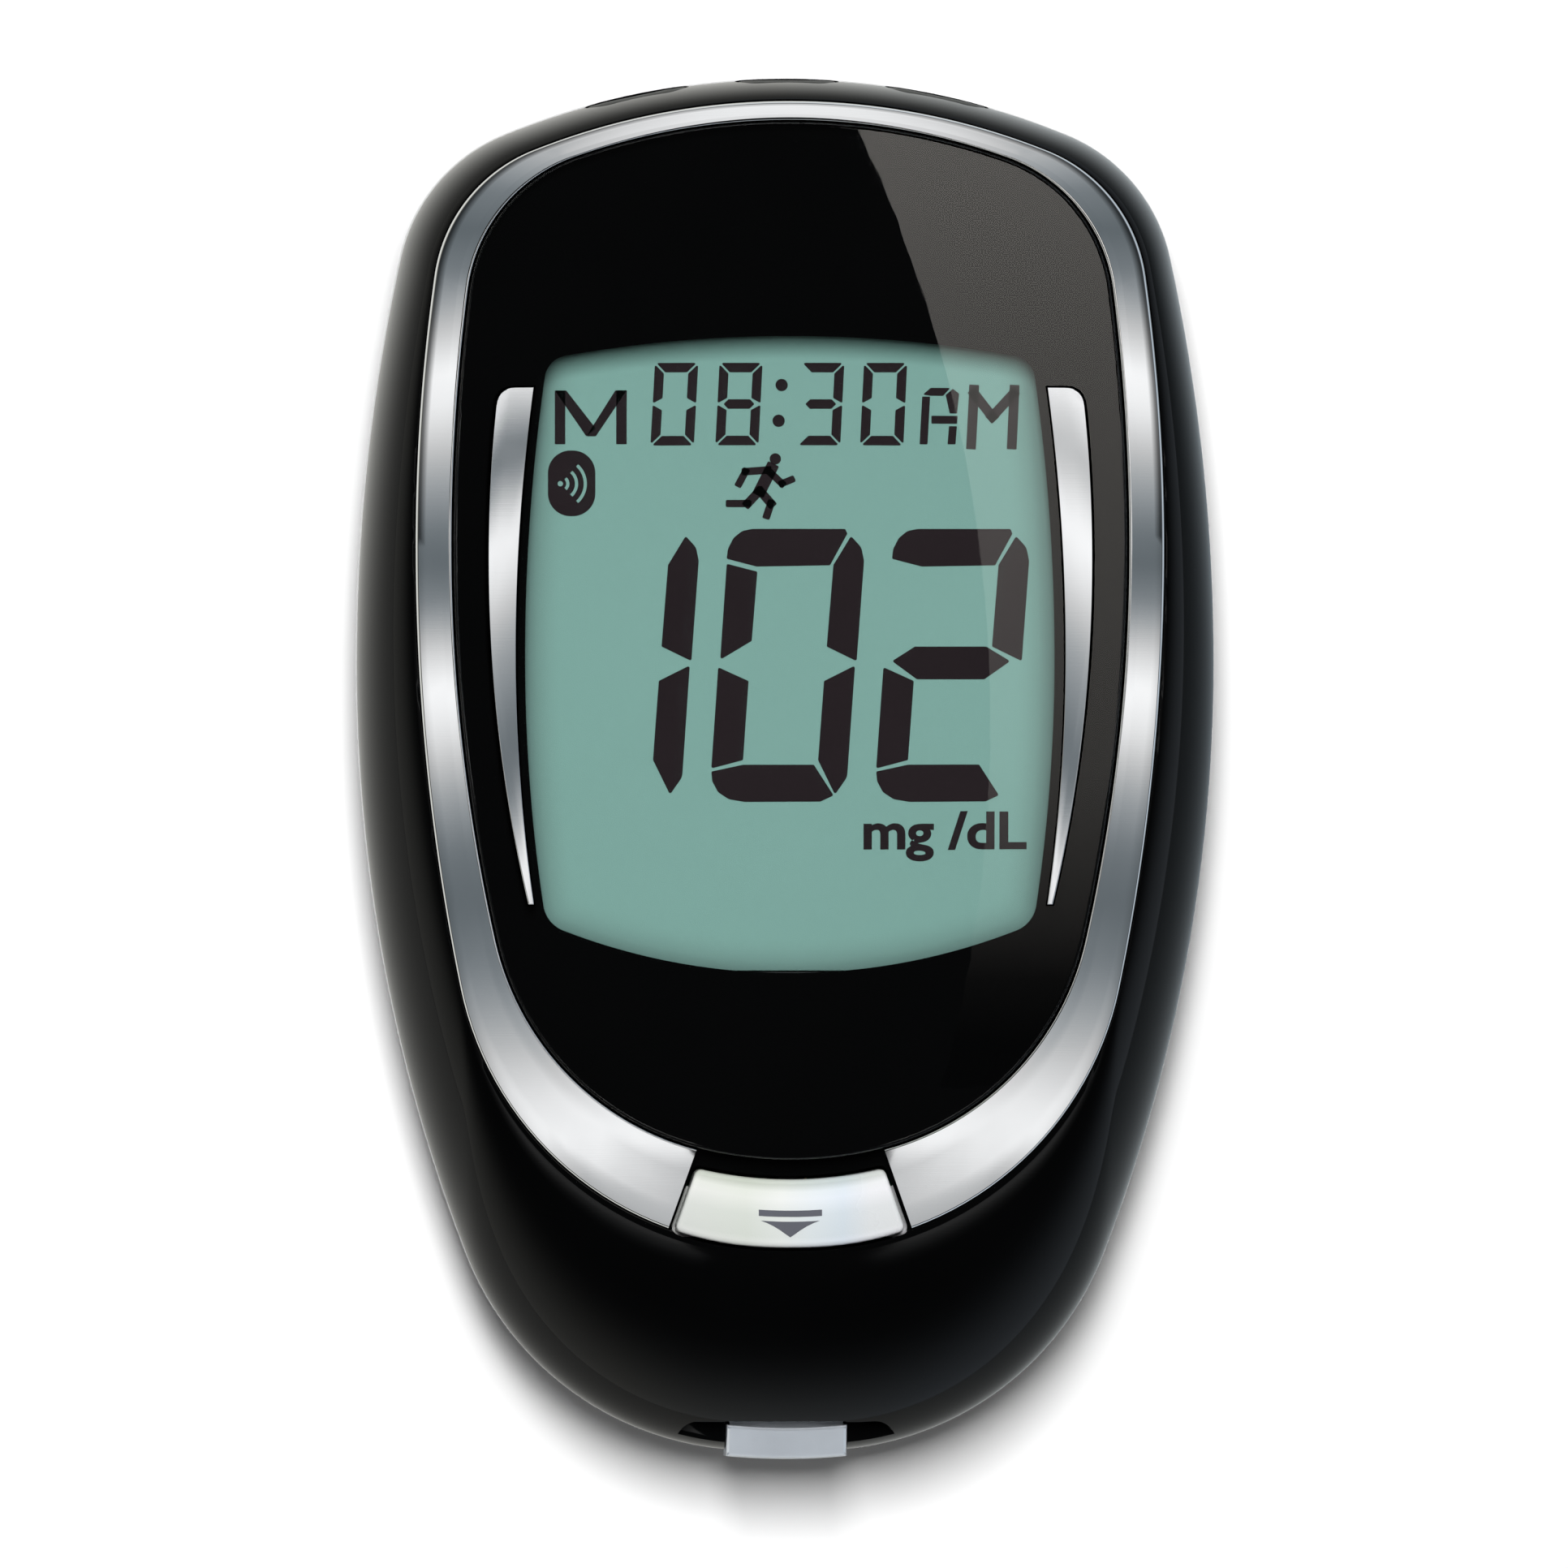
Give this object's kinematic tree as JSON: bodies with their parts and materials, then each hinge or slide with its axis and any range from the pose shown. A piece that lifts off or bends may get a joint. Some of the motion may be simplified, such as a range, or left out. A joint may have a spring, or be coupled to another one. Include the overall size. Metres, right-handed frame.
{
  "type": "blood glucose meter",
  "caption": "Pocket blood glucose meter with a domed pebble case, segment display, chrome trim ring, strip release button and a test strip port in the tail",
  "frame": {"origin": "middle of the bounding box in X and Y, on the plane that the flat back rests on", "axes": "+X to the right across the case, +Y towards the top end of the display, +Z out of the display"},
  "size_m": [0.0544, 0.0874, 0.0175],
  "materials": {
    "back_shell": "fine satin texture",
    "front_shell": "piano black gloss",
    "trim_chrome": "satin chrome plating with polished bevels",
    "lens_glass": "hard-coated clear acrylic",
    "mask_black": "black printed film",
    "accent_chrome": "polished chrome plating",
    "button_pearl": "pearl white gloss",
    "spring_steel": "drawn spring wire",
    "inner_plastic": "natural moulded plastic",
    "port_silver": "metallic silver moulding",
    "connector_black": "black moulded plastic",
    "contact_gold": "gold plating",
    "lcd_glass": "green-grey display glass",
    "lcd_reflector": "diffuse reflector foil",
    "gasket_foam": "black foam",
    "zebra_rubber": "striped silicone",
    "board_green": "green solder mask on glass-epoxy",
    "part_metal": "tinned steel can",
    "component_tan": "ceramic chip parts with tinned ends",
    "key_rubber": "dark grey key caps",
    "door_plastic": "fine satin texture",
    "cell_steel": "nickel-plated steel can",
    "cell_contact": "plated phosphor bronze",
    "screw_steel": "zinc-plated steel",
    "label_grey": "bare satin film"
  },
  "bodies": {
    "case": {"back_cover": "back_shell", "front_cover": "front_shell", "trim_ring": "trim_chrome", "display_lens": "lens_glass", "lens_mask": "mask_black", "accent_strip_left": "accent_chrome", "accent_strip_right": "accent_chrome", "button_springs": "spring_steel", "strip_port": "port_silver", "strip_connector": "connector_black", "strip_contacts": "contact_gold", "lcd_front_glass": "lcd_glass", "lcd_rear_glass": "lcd_glass", "lcd_reflector": "lcd_reflector", "lcd_holder": "inner_plastic", "lcd_gasket": "gasket_foam", "zebra_connector": "zebra_rubber", "main_board": "board_green", "processor_chip": "connector_black", "radio_module": "part_metal", "board_components": "component_tan", "buzzer": "connector_black", "key_switches": "part_metal", "coin_cell_upper": "cell_steel", "coin_cell_lower": "cell_steel", "cell_springs": "cell_contact", "cell_side_contact": "cell_contact", "case_screws": "screw_steel", "board_screws": "screw_steel", "rating_label": "label_grey"},
    "release_button": {"strip_release_button": "button_pearl"},
    "ejector": {"ejector_slider": "inner_plastic"},
    "back_key": {"key_back": "key_rubber"},
    "select_key": {"key_select": "key_rubber"},
    "next_key": {"key_next": "key_rubber"},
    "door": {"battery_door": "door_plastic"}
  },
  "joints": [
    {"name": "release_press", "type": "slide", "parent": "case", "child": "release_button", "axis": [0, 0, -1], "range_m": [0, 0.001], "stiffness_N_per_m": 900, "springref_m": -0.0006, "deforming": ["button_springs"]},
    {"name": "ejector_slide", "type": "slide", "parent": "case", "child": "ejector", "axis": [0, -1, 0], "range_m": [0, 0.0015]},
    {"name": "back_press", "type": "slide", "parent": "case", "child": "back_key", "axis": [0, -1, 0], "range_m": [0, 0.0003], "stiffness_N_per_m": 1500, "springref_m": -0.0003},
    {"name": "select_press", "type": "slide", "parent": "case", "child": "select_key", "axis": [0, -1, 0], "range_m": [0, 0.0003], "stiffness_N_per_m": 1500, "springref_m": -0.0003},
    {"name": "next_press", "type": "slide", "parent": "case", "child": "next_key", "axis": [0, -1, 0], "range_m": [0, 0.0003], "stiffness_N_per_m": 1500, "springref_m": -0.0003},
    {"name": "door_hinge", "type": "hinge", "parent": "case", "child": "door", "pos_m": [0, 0.0266, 0], "axis": [1, 0, 0], "range_deg": [0, 60]}
  ],
  "couplings": [
    {"joint": "ejector_slide", "follows": "release_press", "ratio": 1.5}
  ]
}
